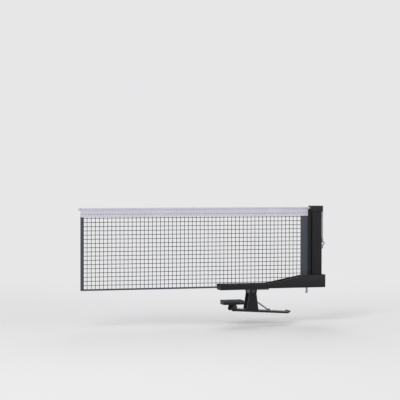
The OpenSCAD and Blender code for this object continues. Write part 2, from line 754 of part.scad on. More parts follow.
module height_screw() color("silver") translate([screw_x, 0, 0]) difference() {
    union() {
        translate([0, 0, head_z - head_h]) cylinder(h = head_h, r = head_r);
        translate([0, 0, head_z]) cylinder(h = foot_z - run - head_z, r = screw_r);
        cylinder(h = screw_top, r = neck_r);
    }
    translate([0, 0, clip_z - slip]) difference() {
        cylinder(h = clip_t + 2 * slip, r = 2 * neck_r);
        translate([0, 0, -eps]) cylinder(h = clip_t + 2 * eps, r = neck_r - 0.3);
    }
    translate([-head_r - eps, -0.5, head_z - head_h - eps]) cube([2 * head_r + 2 * eps, 1, eps + 1.2]);
}

module screw_clip() color("silver") translate([screw_x, 0, clip_z]) difference() {
    cylinder(h = clip_t, r = 2 * neck_r);
    translate([0, 0, -eps]) cylinder(h = clip_t + 2 * eps, r = neck_r - 0.3 + slip);
    translate([0, -0.7, -eps]) cube([2 * neck_r + eps, 1.4, clip_t + 2 * eps]);
}

arm_channel();
seat_pad();
post_socket();
socket_screws();
height_nut();
pivot_pin();
torsion_spring();
release_lever();
pivot_bracket();
bracket_rivets();
pivot_sleeve();
pivot_washers();
swivel_bushes();
pad_shoe();
pad_rubber();
swivel_pin();
post_profile();
post_cap();
post_foot();
foot_pin();
net_mesh();
net_top_band();
net_side_band();
net_end_binding();
net_bottom_tape();
net_edge_tape();
net_edge_rod();
tension_cord();
cord_stop();
height_screw();
screw_clip();
tension_hook();
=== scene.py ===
import math

import bmesh
import bpy
from mathutils import Matrix, Vector, noise


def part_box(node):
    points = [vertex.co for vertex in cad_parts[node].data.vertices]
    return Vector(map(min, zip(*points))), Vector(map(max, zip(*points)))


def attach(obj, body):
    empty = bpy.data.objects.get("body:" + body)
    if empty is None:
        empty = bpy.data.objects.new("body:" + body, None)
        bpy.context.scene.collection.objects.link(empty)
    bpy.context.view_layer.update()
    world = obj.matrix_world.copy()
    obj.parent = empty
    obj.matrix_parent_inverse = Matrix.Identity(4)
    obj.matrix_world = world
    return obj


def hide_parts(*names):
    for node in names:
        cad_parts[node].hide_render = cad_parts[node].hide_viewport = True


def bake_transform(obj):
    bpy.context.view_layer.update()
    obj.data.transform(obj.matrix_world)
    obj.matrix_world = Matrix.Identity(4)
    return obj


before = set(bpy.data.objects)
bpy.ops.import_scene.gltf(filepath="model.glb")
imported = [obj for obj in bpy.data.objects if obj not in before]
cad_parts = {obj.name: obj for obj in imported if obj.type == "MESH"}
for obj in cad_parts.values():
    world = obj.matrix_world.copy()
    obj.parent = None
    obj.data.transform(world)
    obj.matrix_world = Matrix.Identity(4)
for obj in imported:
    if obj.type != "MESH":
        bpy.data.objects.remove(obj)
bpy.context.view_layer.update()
mm = 0.001


# --- Camera -----------------------------------------------------------------------------
# Stands 2.6 m off, in front of the net and to its left, and 0.2 m above the table top, so that
# the post's end is the far one. A long lens keeps the net's lines nearly level.
CAMERA_PLACE = Vector((-812.6, -2469.3, 214.8)) * mm
CAMERA_YAW = math.radians(16.43)
CAMERA_DIP = math.radians(-1.08)
CAMERA_TILT = math.radians(0.08)
LENS_PIXELS = 1400
FRAME_PIXELS = 400

lens = bpy.data.cameras.new("camera")
lens.sensor_width = 36
lens.lens = LENS_PIXELS / FRAME_PIXELS * lens.sensor_width
camera = bpy.data.objects.new("camera", lens)
camera.location = CAMERA_PLACE
camera.rotation_euler = (
    Matrix.Rotation(-CAMERA_YAW, 3, "Z")
    @ Matrix.Rotation(math.pi / 2 + CAMERA_DIP, 3, "X")
    @ Matrix.Rotation(CAMERA_TILT, 3, "Z")
).to_euler()
bpy.context.scene.collection.objects.link(camera)
bpy.context.scene.camera = camera
bpy.context.scene.view_settings.view_transform = "Standard"


# --- Tension cord -----------------------------------------------------------------------
# A braided polyester cord, 2.2 mm thick, white. It runs the length of the band's hem, through
# the groove in the post's cap and down the post's outer face, where the hook hangs on it.
class Signal:
    """A socket of a material. Sums on it add the material's Math nodes."""

    def __init__(self, finish, socket):
        self.finish = finish
        self.socket = socket

    def math(self, operation, other=None, swapped=False):
        pair = (other, self) if swapped else (self, other)
        inputs = {i: v for i, v in enumerate(pair) if v is not None}
        return self.finish.node("ShaderNodeMath", {"operation": operation}, inputs)

    def __add__(self, other):
        return self.math("ADD", other)

    def __radd__(self, other):
        return self.math("ADD", other, True)

    def __sub__(self, other):
        return self.math("SUBTRACT", other)

    def __rsub__(self, other):
        return self.math("SUBTRACT", other, True)

    def __mul__(self, other):
        return self.math("MULTIPLY", other)

    def __rmul__(self, other):
        return self.math("MULTIPLY", other, True)

    def sine(self):
        return self.math("SINE")

    def above(self, low, high):
        """0 up to low, 1 from high on, and a straight rise between."""
        settings = {"interpolation_type": "SMOOTHSTEP"}
        inputs = {"Value": self, "From Min": low, "From Max": high}
        return self.finish.node("ShaderNodeMapRange", settings, inputs)


class Finish:
    """One material, made up of its surface and the nodes that feed it."""

    def __init__(self, name, **surface):
        self.material = bpy.data.materials.new(name)
        self.material.use_nodes = True
        self.nodes = self.material.node_tree.nodes
        self.links = self.material.node_tree.links
        self.shader = self.nodes["Principled BSDF"]
        self.surface(**surface)

    def feed(self, socket, value):
        if isinstance(value, Signal):
            self.links.new(value.socket, socket)
        elif hasattr(value, "__len__"):
            socket.default_value = (*value, 1.0)[: len(socket.default_value)]
        else:
            socket.default_value = value

    def surface(self, **values):
        for name, value in values.items():
            socket = self.shader.inputs[name.replace("_", " ").title().replace("Ior", "IOR")]
            self.feed(socket, value)

    def node(self, kind, settings=None, inputs=None, output=0):
        made = self.nodes.new(kind)
        for name, value in (settings or {}).items():
            setattr(made, name, value)
        for name, value in (inputs or {}).items():
            self.feed(made.inputs[name], value)
        return Signal(self, made.outputs[output])

    def place(self, axis=None):
        """Where a point of the piece is, in metres, or one of its X, Y and Z."""
        spot = self.node("ShaderNodeTexCoord", output="Object")
        if axis is None:
            return spot
        return self.node("ShaderNodeSeparateXYZ", inputs={0: spot}, output=axis)

    def mottle(self, size, detail=2.0, stretch=(1, 1, 1)):
        """Soft random patches of about that size, from 0 to 1."""
        spot = self.node("ShaderNodeMapping", inputs={0: self.place(), "Scale": stretch})
        inputs = {"Vector": spot, "Scale": 1 / size, "Detail": detail}
        return self.node("ShaderNodeTexNoise", inputs=inputs)

    def tint(self, amount, low, high):
        """A colour between low and high."""
        inputs = {0: amount, 6: low, 7: high}
        return self.node("ShaderNodeMix", {"data_type": "RGBA"}, inputs, output=2)

    def relief(self, height, depth, over=None):
        """Raises the surface by height times depth, in metres."""
        inputs = {"Height": height, "Distance": depth, "Strength": 1.0}
        if over is not None:
            inputs["Normal"] = over
        bump = self.node("ShaderNodeBump", inputs=inputs)
        self.surface(normal=bump)
        return bump

    def edges(self, radius):
        """1 on the piece's corners and 0 on its faces: where a coating rubs thin, and where a
        highlight is painted along the edges.
        """
        rounded = self.node("ShaderNodeBevel", {"samples": 4}, {"Radius": radius})
        flat = self.node("ShaderNodeNewGeometry", output="Normal")
        settings = {"operation": "DOT_PRODUCT"}
        same = self.node("ShaderNodeVectorMath", settings, {0: rounded, 1: flat}, "Value")
        return (1 - same).above(0.01, 0.12)


def length_of(points):
    """How long the line through the points is."""
    return sum((b - a).length for a, b in zip(points, points[1:]))


def even(points, step, parts=24):
    """Points a step apart along a smooth line through the given ones."""
    line = []
    ends = [points[0] * 2 - points[1], *points, points[-1] * 2 - points[-2]]
    for before, start, end, after in zip(ends, ends[1:], ends[2:], ends[3:]):
        span = (end - start).length
        into = (end - before).normalized() * span / 3
        out = (after - start).normalized() * span / 3
        for k in range(parts):
            t = k / parts
            line.append(
                start * (1 - t) ** 3
                + (start + into) * 3 * t * (1 - t) ** 2
                + (end - out) * 3 * t * t * (1 - t)
                + end * t**3
            )
    line.append(points[-1])
    lengths = [0.0]
    for a, b in zip(line, line[1:]):
        lengths.append(lengths[-1] + (b - a).length)
    count = max(2, round(lengths[-1] / step))
    result, at = [], 0
    for k in range(count + 1):
        want = lengths[-1] * k / count
        while at < len(line) - 2 and lengths[at + 1] < want:
            at += 1
        share = (want - lengths[at]) / (lengths[at + 1] - lengths[at])
        result.append(line[at].lerp(line[at + 1], min(1.0, share)))
    return result


def as_mesh(name, data, *modifiers):
    """The mesh that a curve or a mesh makes, with modifiers given as (kind, settings)."""
    maker = bpy.data.objects.new(name + "_maker", data)
    bpy.context.scene.collection.objects.link(maker)
    for kind, settings in modifiers:
        modifier = maker.modifiers.new(kind.lower(), kind)
        for setting, value in settings.items():
            setattr(modifier, setting, value)
    depsgraph = bpy.context.evaluated_depsgraph_get()
    made = bpy.data.meshes.new_from_object(maker.evaluated_get(depsgraph))
    bpy.data.objects.remove(maker)
    return made


def strand(name, points, radius, roundness=3, closed=False):
    """A round strand along the points, as a mesh whose UV map runs along and round it."""
    curve = bpy.data.curves.new(name, "CURVE")
    curve.dimensions = "3D"
    curve.bevel_depth = radius
    curve.bevel_resolution = roundness
    curve.use_fill_caps = not closed
    line = curve.splines.new("POLY")
    line.points.add(len(points) - 1)
    line.use_cyclic_u = closed
    for spot, point in zip(line.points, points):
        spot.co = (*point, 1)
    mesh = as_mesh(name, curve)
    bpy.data.curves.remove(curve)
    for face in mesh.polygons:
        face.use_smooth = True
    mesh.name = name
    return mesh


def fit(name, mesh, body, slot, finish, *nodes):
    """Puts a finished mesh on its body, in place of the solids named."""
    piece = bpy.data.objects.new(name, mesh)
    bpy.context.scene.collection.objects.link(piece)
    mesh.materials.clear()
    mesh.materials.append(finish.material)
    if body:
        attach(piece, body)
    if nodes:
        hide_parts(*nodes)
    return piece


def braid(name, length, girth, plaits):
    """A white braid, whose two sets of plaits wind both ways round a cord of that length, with painted
    shade in the grooves between the plaits.
    """
    made = Finish(name, roughness=0.62)
    spot = made.node("ShaderNodeTexCoord", output="UV")
    along = made.node("ShaderNodeSeparateXYZ", inputs={0: spot}, output="X")
    around = made.node("ShaderNodeSeparateXYZ", inputs={0: spot}, output="Y")
    turns = plaits * length / girth / 2
    left = (along * (turns * math.tau) + around * (plaits * math.tau)).sine()
    right = (along * (turns * math.tau) - around * (plaits * math.tau)).sine()
    weave = 0.5 + 0.5 * (left * right)
    dirt = made.mottle(9 * mm)
    # The grooves between the plaits are painted darker as painted shade; the random dirt patches are
    # the cord's own.
    shade = weave.above(-0.1, 0.6) * (0.75 + 0.25 * dirt)
    made.surface(base_color=made.tint(shade, (0.52, 0.52, 0.55), (0.76, 0.76, 0.78)))
    made.relief(weave, girth * 0.012)
    return made


CORD_DIAMETER = 2.2 * mm
cord_route = [
    Vector(point) * mm
    for point in (
        (-308, 0, 150.7), (-260, 0, 150.7), (-210, 0, 150.7), (-160, 0, 150.7),
        (-110, 0, 150.7), (-60, 0, 150.7), (-10, 0, 150.7), (40, 0, 150.7),
        (90, 0, 150.7), (127, 0, 150.7), (140, 0, 150.7), (152, 0, 150.7),
        (153.9, 0, 150.3), (155.5, 0, 149.2), (156.6, 0, 147.6), (157, 0, 145.7),
        (157, 0, 138), (157, 0, 128), (157, 0, 118), (157, 0, 108),
        (157, 0, 98), (157, 0, 88.5),
    )
]
cord_length = length_of(cord_route)
cord_braid = braid("braided_cord", cord_length, math.pi * CORD_DIAMETER, 4)
cord_mesh = strand("tension_line", even(cord_route, 1.1 * mm), CORD_DIAMETER / 2, 4)
cord = fit("tension_line", cord_mesh, "post", "white_cord", cord_braid, "tension_cord")

# The cord's tail is tied back on itself through the hook's ring: a loop round the ring's wire,
# and a knot of a little over two turns round the cord above it.
TIE_RADIUS = 0.8 * mm
LOOP_RADIUS = 2.0 * mm
TURN_RISE = 1.65 * mm
TURN_POINTS = 12
RING_TOP = Vector((157, 0, 87.2)) * mm
KNOT_FOOT = 89.5 * mm
tie = []
for k in range(13):
    angle = math.radians(205 - 230 * k / 12)
    tie.append(RING_TOP + Vector((0, math.cos(angle), -math.sin(angle))) * LOOP_RADIUS)
knot_out = CORD_DIAMETER / 2 + TIE_RADIUS * 0.95
for k in range(2 * TURN_POINTS + 3):
    angle = math.tau * (k - 2) / TURN_POINTS
    around = Vector((math.sin(angle), math.cos(angle), 0)) * knot_out
    tie.append(Vector((RING_TOP.x, 0, KNOT_FOOT + TURN_RISE * k / TURN_POINTS)) + around)
for rise in (0.5, 1.1, 1.8):
    tie.append(Vector((RING_TOP.x + 0.2 * mm, knot_out + 0.1 * mm, tie[-1].z + rise * mm)))
tie_braid = braid("braided_tie", length_of(tie), math.tau * TIE_RADIUS, 3)
tie_mesh = strand("hook_tie", even(tie, 0.45 * mm), TIE_RADIUS)
cord_tie = fit("hook_tie", tie_mesh, "post", "white_cord", tie_braid)

# The other end is stopped by an overhand knot outside the hem.
STOP_RADIUS = 1.0 * mm
STOP_LENGTH = 28 * mm
STOP_CENTRE = Vector((-310.4, 0, 150.7)) * mm
STOP_POINTS = 60
stop_line = []
for k in range(STOP_POINTS):
    t = math.tau * k / STOP_POINTS
    lobes = Vector((0, math.sin(t) + 2 * math.sin(2 * t), math.cos(t) - 2 * math.cos(2 * t)))
    stop_line.append(STOP_CENTRE + lobes * 0.86 * mm + Vector((math.sin(3 * t), 0, 0)) * 1.12 * mm)
stop_braid = braid("braided_knot", STOP_LENGTH, math.tau * STOP_RADIUS, 4)
stop_mesh = strand("stop_knot", stop_line, STOP_RADIUS, 3, True)
cord_knot = fit("stop_knot", stop_mesh, "post", "white_cord", stop_braid, "cord_stop")


# --- Arm --------------------------------------------------------------------------------
# A channel pressed from 1.5 mm steel, open at the top and closed at its outer end, with two
# lugs for the pivot. Black powder coat, its corners painted lighter: a little wear, a painted
# highlight.
def join_flats(shape, angle=math.radians(0.5)):
    """Makes one face of those that lie flat side by side."""
    bmesh.ops.dissolve_limit(shape, angle_limit=angle, verts=shape.verts, edges=shape.edges)


def blank(node):
    """A solid's own shape, welded, with its flat faces whole."""
    shape = bmesh.new()
    shape.from_mesh(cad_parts[node].data)
    bmesh.ops.remove_doubles(shape, verts=shape.verts, dist=2e-6)
    join_flats(shape)
    return shape


def ease(shape, radius, segments=2, shortest=0.9 * mm, where=None, angle=32):
    """Rounds a shape's corners, leaving the rims of its bores."""
    chosen = [
        edge
        for edge in shape.edges
        if len(edge.link_faces) == 2
        and edge.calc_face_angle(0) > math.radians(angle)
        and edge.calc_length() > shortest
        and (where is None or where(edge))
    ]
    bmesh.ops.bevel(
        shape, geom=chosen, offset=radius, offset_type="OFFSET", segments=segments, profile=0.5,
        affect="EDGES", clamp_overlap=True, material=-1,
    )
    return shape


def mesh_of(shape, name):
    """A shape's mesh. The shape itself is used up."""
    mesh = bpy.data.meshes.new(name)
    shape.to_mesh(mesh)
    shape.free()
    return mesh


def solid(shape, name, crease=38):
    """The mesh of a shape, smooth but for its sharp edges."""
    for face in shape.faces:
        face.smooth = True
    for edge in shape.edges:
        edge.smooth = edge.calc_face_angle(0) < math.radians(crease)
    return mesh_of(shape, name)


def eased(name, node, body, slot, finish, radius, segments=2):
    """A solid of the part with its corners rounded, in that solid's place."""
    shape = ease(blank(node), radius, segments)
    return fit(name, solid(shape, name), body, slot, finish, node)


def powder_coat(name, colour, worn_and_highlight):
    made = Finish(name, specular_ior_level=0.26)
    patches = made.mottle(22 * mm, 3)
    grain = made.mottle(0.9 * mm, 1)
    # Corners are painted lighter in patches: partly rubbed wear, partly a painted highlight along the
    # edges.
    wear_and_edge_highlight = made.edges(0.5 * mm) * made.mottle(5 * mm, 3).above(0.35, 0.65)
    made.surface(
        base_color=made.tint(wear_and_edge_highlight, colour, worn_and_highlight),
        roughness=0.40 + 0.10 * patches + 0.06 * grain - 0.1 * wear_and_edge_highlight,
    )
    made.relief(grain + 0.5 * made.mottle(2.6 * mm, 1), 0.03 * mm)
    return made


# The second colour goes on the corners, as wear and as a painted highlight along the edges.
black_coat = powder_coat("black_powder_coat", (0.0065, 0.0065, 0.0078), (0.095, 0.095, 0.105))
ARM_BEND = 1.1 * mm
ARM_UNDERSIDE = 1.5 * mm
arm_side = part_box("arm_channel")[1].y


def along_bend(edge, near=0.02 * mm):
    """Whether an edge is one of the two long bends between the arm's base and its walls."""
    a, b = (v.co for v in edge.verts)
    level = abs(a.z - ARM_UNDERSIDE) < near and abs(b.z - ARM_UNDERSIDE) < near
    outside = abs(abs(a.y) - arm_side) < near and abs(a.y - b.y) < near
    return level and outside


arm = blank("arm_channel")
ease(arm, ARM_BEND, 4, where=along_bend)
ease(arm, 0.28 * mm)
fit("clamp_arm", solid(arm, "clamp_arm"), "arm", "black_steel", black_coat, "arm_channel")


# --- Seat -------------------------------------------------------------------------------
# A strip of black rubber, 1.5 mm thick, glued under the arm so that it grips the table top.
def moulded_rubber(name, low, high, fleck):
    made = Finish(name, specular_ior_level=0.35)
    dust = made.mottle(4 * mm, 4)
    grain = made.mottle(fleck, 2)
    made.surface(
        base_color=made.tint(dust.above(0.3, 0.75) * 0.7 + 0.3 * grain, low, high),
        roughness=0.72 + 0.15 * grain,
    )
    made.relief(grain, 0.04 * mm)
    return made


seat_rubber = moulded_rubber("seat_rubber", (0.012, 0.012, 0.013), (0.032, 0.032, 0.035), 0.5 * mm)
eased("seat_strip", "seat_pad", "arm", "black_rubber", seat_rubber, 0.2 * mm)


# --- Post socket ------------------------------------------------------------------------
# A block moulded in black nylon that fills the arm's outer end and guides the post. It holds
# the height screw's nut, and two countersunk screws fix it from below.
def moulded_plastic(name, low, high):
    made = Finish(name, specular_ior_level=0.26)
    sparks = made.mottle(0.55 * mm, 2)
    flow = made.mottle(18 * mm, 2)
    # Corners are painted lighter: a painted highlight along the edges, and some wear.
    wear_and_edge_highlight = made.edges(0.4 * mm)
    made.surface(
        base_color=made.tint(flow * 0.6 + wear_and_edge_highlight * 0.4, low, high),
        roughness=0.46 + 0.12 * sparks,
    )
    made.relief(sparks, 0.025 * mm)
    return made


# The lighter colour goes on random flow marks and on the corners, as wear and as a painted highlight.
black_nylon = moulded_plastic("black_nylon", (0.007, 0.007, 0.009), (0.022, 0.022, 0.026))
eased("socket_block", "post_socket", "arm", "black_plastic", black_nylon, 0.3 * mm)


def plated_steel(name, low, high, roughness, streak=(1, 1, 1)):
    made = Finish(name, metallic=1.0)
    cloud = made.mottle(3.2 * mm, 3)
    lines = made.mottle(0.35 * mm, 2, streak)
    made.surface(
        base_color=made.tint(cloud.above(0.3, 0.7), low, high),
        roughness=roughness + 0.10 * cloud + 0.08 * lines,
    )
    made.relief(lines, 0.008 * mm)
    return made


def dress(finish, *nodes):
    """Gives small hardware, which keeps the solid's own shape, its finish."""
    for node in nodes:
        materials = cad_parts[node].data.materials
        materials.clear()
        materials.append(finish.material)


zinc = plated_steel("zinc_plate", (0.42, 0.43, 0.45), (0.56, 0.57, 0.59), 0.26)
dress(zinc, "socket_screws", "height_nut")


# --- Pivot ------------------------------------------------------------------------------
# A steel pin, black oxide, riveted over into a low dome at both ends. It passes through the
# arm's lugs, a white washer on each side, the lever's bracket and the sleeve in the spring.
def turned(profile, axis, spot, steps=40):
    """A round part, from points (along, out) and turned about an axis through the spot."""
    axis = Vector(axis)
    side = axis.orthogonal().normalized()
    shape = bmesh.new()
    spots = [shape.verts.new(spot + axis * x + side * r) for x, r in profile]
    lines = [shape.edges.new(pair) for pair in zip(spots, spots[1:])]
    bmesh.ops.spin(
        shape, geom=spots + lines, cent=spot, axis=axis, angle=math.tau, steps=steps, use_merge=True
    )
    bmesh.ops.remove_doubles(shape, verts=shape.verts, dist=1e-6)
    bmesh.ops.recalc_face_normals(shape, faces=shape.faces)
    return shape


def dome(start, radius, height, rings=5):
    """The profile of a low dome, from its rim at start up to its middle."""
    turns = [math.pi / 2 * k / rings for k in range(rings + 1)]
    return [(start + height * math.sin(turn), radius * math.cos(turn)) for turn in turns]


def mirrored(half):
    """The whole profile of a pin, from its half on one side."""
    return [(-x, r) for x, r in reversed(half)] + half[1:]


black_oxide = plated_steel("black_oxide", (0.045, 0.046, 0.050), (0.085, 0.087, 0.094), 0.30)
PIVOT = Vector((15.1, 0, -3.3)) * mm
PIN_RADIUS = 2 * mm
PIN_HEAD = 2.9 * mm
PIN_SHOULDER = 13 * mm
PIN_RIM = PIN_SHOULDER + 0.35 * mm
pin_half = [(0, PIN_RADIUS), (PIN_SHOULDER, PIN_RADIUS), (PIN_SHOULDER, PIN_HEAD)]
pin_half += [(PIN_RIM, PIN_HEAD)]
pin_half += dome(PIN_RIM, PIN_HEAD - 0.15 * mm, 0.85 * mm)
pin = turned(mirrored(pin_half), (0, 1, 0), PIVOT)
fit("pivot_rivet", solid(pin, "pivot_rivet"), "arm", "dark_steel", black_oxide, "pivot_pin")

white_nylon = Finish("white_nylon", roughness=0.42)
milk = white_nylon.mottle(2.5 * mm)
white_nylon.surface(base_color=white_nylon.tint(milk, (0.60, 0.59, 0.54), (0.70, 0.69, 0.65)))
white_nylon.relief(milk, 0.01 * mm)
dress(white_nylon, "pivot_washers")
dress(zinc, "pivot_sleeve")


# --- Torsion spring ---------------------------------------------------------------------
# 2.8 mm spring wire, nearly three and a half turns round the pivot, grey. Its upper leg lies
# against the arm and its lower leg slopes down to the lever, so that it closes the jaw.
WIRE = 2.8 * mm
LEG_PLAY = 0.1 * mm
COIL_RADIUS = 5 * mm
COIL_PITCH = WIRE + 0.45 * mm
COIL_FROM = math.radians(60)
COIL_TO = math.radians(219.7 + 360 * 3)
COIL_HALF = COIL_PITCH * (COIL_TO - COIL_FROM) / math.tau / 2
UPPER_LEG_END = 48 * mm
LOWER_LEG_DROP = 17.3 * mm
FOOT_LENGTH = 5 * mm
LEG_SLOPE = math.tan(math.radians(34.9))
LEVER_DROOP = math.tan(math.radians(4.15))
TOP_BELOW_SWIVEL = 3.5 * mm
SWIVEL = Vector((-19.8, 0, -31.7)) * mm


def lever_top(x):
    """Height of the lever's top plate."""
    return SWIVEL.z - TOP_BELOW_SWIVEL - (x - SWIVEL.x) * LEVER_DROOP


def coil_point(angle):
    """Where the middle of the coil's wire is after that turn."""
    along = COIL_PITCH * (angle - COIL_FROM) / math.tau - COIL_HALF
    return PIVOT + Vector((COIL_RADIUS * math.cos(angle), along, COIL_RADIUS * math.sin(angle)))


def bent(points, radius):
    """The same line with its inner corners rounded."""
    line = [points[0]]
    for before, corner, after in zip(points, points[1:], points[2:]):
        into = (corner - before).normalized()
        out = (after - corner).normalized()
        cut = radius * math.tan(into.angle(out) / 2)
        for k in range(9):
            t = k / 8
            a = (corner - into * cut).lerp(corner, t)
            b = corner.lerp(corner + out * cut, t)
            line.append(a.lerp(b, t))
    line.append(points[-1])
    return line


upper_z = ARM_UNDERSIDE - WIRE / 2 - LEG_PLAY
upper_start = coil_point(COIL_FROM)
upper_bend = upper_start.x + (upper_start.z - upper_z) / math.tan(math.pi / 2 - COIL_FROM)
lower_start = coil_point(COIL_TO)
lower_z = PIVOT.z - LOWER_LEG_DROP
lower_turn = math.radians(270) - COIL_TO % math.tau
lower_bend = lower_start.x + (lower_start.z - lower_z) / math.tan(lower_turn)
foot_line = lever_top(0) + WIRE / 2 + LEG_PLAY
foot_x = (lower_z + LEG_SLOPE * lower_bend - foot_line) / (LEG_SLOPE - LEVER_DROOP)
foot_end = foot_x + FOOT_LENGTH
upper_corners = [(UPPER_LEG_END, -COIL_HALF, upper_z), (upper_bend, -COIL_HALF, upper_z)]
lower_corners = [
    (lower_bend, COIL_HALF, lower_z),
    (foot_x, COIL_HALF, foot_line - foot_x * LEVER_DROOP),
    (foot_end, COIL_HALF, foot_line - foot_end * LEVER_DROOP),
]
upper_leg = bent([Vector(corner) for corner in upper_corners] + [upper_start], 2.4 * mm)
lower_leg = bent([lower_start] + [Vector(corner) for corner in lower_corners], 3 * mm)
COIL_STEPS = 150
coil_turn = (COIL_TO - COIL_FROM) / COIL_STEPS
coil = [coil_point(COIL_FROM + coil_turn * k) for k in range(1, COIL_STEPS)]
spring_wire = plated_steel("spring_wire", (0.20, 0.21, 0.23), (0.34, 0.35, 0.38), 0.30, (1, 6, 1))
spring_mesh = strand("pivot_spring", even(upper_leg + coil + lower_leg, 0.8 * mm), WIRE / 2, 5)
spring_piece = fit("pivot_spring", spring_mesh, None, "spring_steel", spring_wire, "torsion_spring")
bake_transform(spring_piece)


# --- Release lever ----------------------------------------------------------------------
# A shallow channel pressed from 2 mm steel, open below, with a lip for the fingers at its
# outer end and two eyes at its inner end. Its bracket is riveted on and hangs on the pivot.
eased("squeeze_lever", "release_lever", "lever", "black_steel", black_coat, 0.3 * mm)
eased("lever_bracket", "pivot_bracket", "lever", "black_steel", black_coat, 0.3 * mm)
RIVET_RADIUS = 1.6 * mm
RIVET_HEAD = 2.6 * mm
RIVET_PLACES = (9.7 * mm, 19.5 * mm)
LEVER_PLATE = 2 * mm
droop_axis = Vector((LEVER_DROOP, 0, 1)).normalized()
rivet_half = [(0, RIVET_RADIUS), (LEVER_PLATE, RIVET_RADIUS), (LEVER_PLATE, RIVET_HEAD)]
rivet_half += dome(LEVER_PLATE + 0.1 * mm, RIVET_HEAD - 0.05 * mm, 1.0 * mm)
rivets = bmesh.new()
for x in RIVET_PLACES:
    rivet = turned(mirrored(rivet_half), droop_axis, Vector((x, 0, lever_top(x))), 28)
    rivets.from_mesh(mesh_of(rivet, "rivet"))
rivet_mesh = solid(rivets, "lever_rivets")
fit("lever_rivets", rivet_mesh, "lever", "dark_steel", black_oxide, "bracket_rivets")


# --- Clamp pad --------------------------------------------------------------------------
# A pressed shoe that swivels on a pin in the lever's eyes, so that it lies flat against the
# table, with a grey rubber on it whose fine ribs run the pad's length.
eased("swivel_shoe", "pad_shoe", "pad", "black_steel", black_coat, 0.35 * mm)

grey_rubber = moulded_rubber("pad_rubber_grey", (0.030, 0.033, 0.042), (0.056, 0.060, 0.074), 0.6 * mm)
RIB_PITCH = 2.0 * mm
RIB_DEPTH = 0.45 * mm


def points_in(geom):
    """The vertices among what an operator made."""
    return [g for g in geom if isinstance(g, bmesh.types.BMVert)]


def all_of(shape):
    """Everything that a shape is made of."""
    return shape.verts[:] + shape.edges[:] + shape.faces[:]


def cut(shape, spot, way, geom=None, clear=False):
    """Cuts a shape along a plane and, if asked, clears what lies beyond it."""
    geom = geom or all_of(shape)
    bmesh.ops.bisect_plane(shape, geom=geom, plane_co=spot, plane_no=way, clear_outer=clear)


low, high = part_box("pad_rubber")
tread = bmesh.new()
corners = ((low.x, low.y), (high.x, low.y), (high.x, high.y), (low.x, high.y))
tread.faces.new([tread.verts.new((x, y, high.z)) for x, y in corners])
groove_count = round((high.y - low.y) / RIB_PITCH)
grooves = [low.y + (high.y - low.y) * (k + 0.5) / groove_count for k in range(groove_count)]
for groove in grooves:
    for share in (-0.28, -0.12, 0.12, 0.28):
        cut(tread, (0, groove + share * RIB_PITCH, 0), (0, 1, 0))
for groove in grooves:
    for vert in tread.verts:
        if abs(vert.co.y - groove) < 0.2 * RIB_PITCH:
            vert.co.z -= RIB_DEPTH
base = bmesh.ops.extrude_face_region(tread, geom=tread.faces[:])
for vert in points_in(base["geom"]):
    vert.co.z = low.z
bmesh.ops.recalc_face_normals(tread, faces=tread.faces)
join_flats(tread)
tread_mesh = solid(ease(tread, 0.12 * mm, 1), "ribbed_rubber")
fit("ribbed_rubber", tread_mesh, "pad", "grey_rubber", grey_rubber, "pad_rubber")

SWIVEL_RADIUS = 1.5 * mm
SWIVEL_HEAD = 1.9 * mm
SWIVEL_RIM = 12.1 * mm
swivel_half = [(0, SWIVEL_RADIUS), (SWIVEL_RIM, SWIVEL_RADIUS), (SWIVEL_RIM, SWIVEL_HEAD)]
swivel_half += dome(SWIVEL_RIM + 0.15 * mm, SWIVEL_HEAD - 0.05 * mm, 0.45 * mm)
swivel = turned(mirrored(swivel_half), (0, 1, 0), SWIVEL)
fit("swivel_rivet", solid(swivel, "swivel_rivet"), "pad", "dark_steel", black_oxide, "swivel_pin")
dress(black_nylon, "swivel_bushes")


# --- Post -------------------------------------------------------------------------------
# A slotted steel tube, 19.7 by 18 mm, black powder coat, that stands in the socket. A moulded
# cap with a groove for the cord closes it, and a moulded foot carries the height screw.
eased("net_post", "post_profile", "post", "black_steel", black_coat, 0.2 * mm)
eased("post_top", "post_cap", "post", "black_plastic", black_nylon, 0.45 * mm, 3)
eased("post_shoe", "post_foot", "post", "black_plastic", black_nylon, 0.25 * mm)
dress(zinc, "foot_pin")


# --- Net --------------------------------------------------------------------------------
# Square netting of dark nylon twine with a knot at each crossing, 7.57 mm from knot to knot,
# 55 twines along and 18 high. Its edges are sewn into the bands and the bottom tape, so one
# more column is made at each end and cut off inside the band there.
PITCH = 7.572 * mm
TWINE_RADIUS = 0.52 * mm
KNOT_OUT = 0.62 * mm
KNOT_RADIUS = 0.36 * mm
KNOT_LEAN = (0.8, 0.35, 0.8)
KNOT_PRESS = 0.42
FIRST_UPRIGHT = 113.03 * mm
FIRST_LEVEL = 5.52 * mm
UPRIGHTS = 55
LEVELS = 18
NET_LEFT, NET_RIGHT = -302.7 * mm, 115.4 * mm
NET_LOW, NET_HIGH = 4.4 * mm, 137.2 * mm
HELD_SIDE = 25 * mm  # how far in from its sides, and from its top and bottom edges,
HELD_EDGE = 12 * mm  # the sewing still steadies the net


def repeat(count, step):
    """A modifier that lays copies of a mesh in a row."""
    settings = {"count": count, "use_relative_offset": False, "use_constant_offset": True}
    return "ARRAY", {**settings, "constant_offset_displace": step}


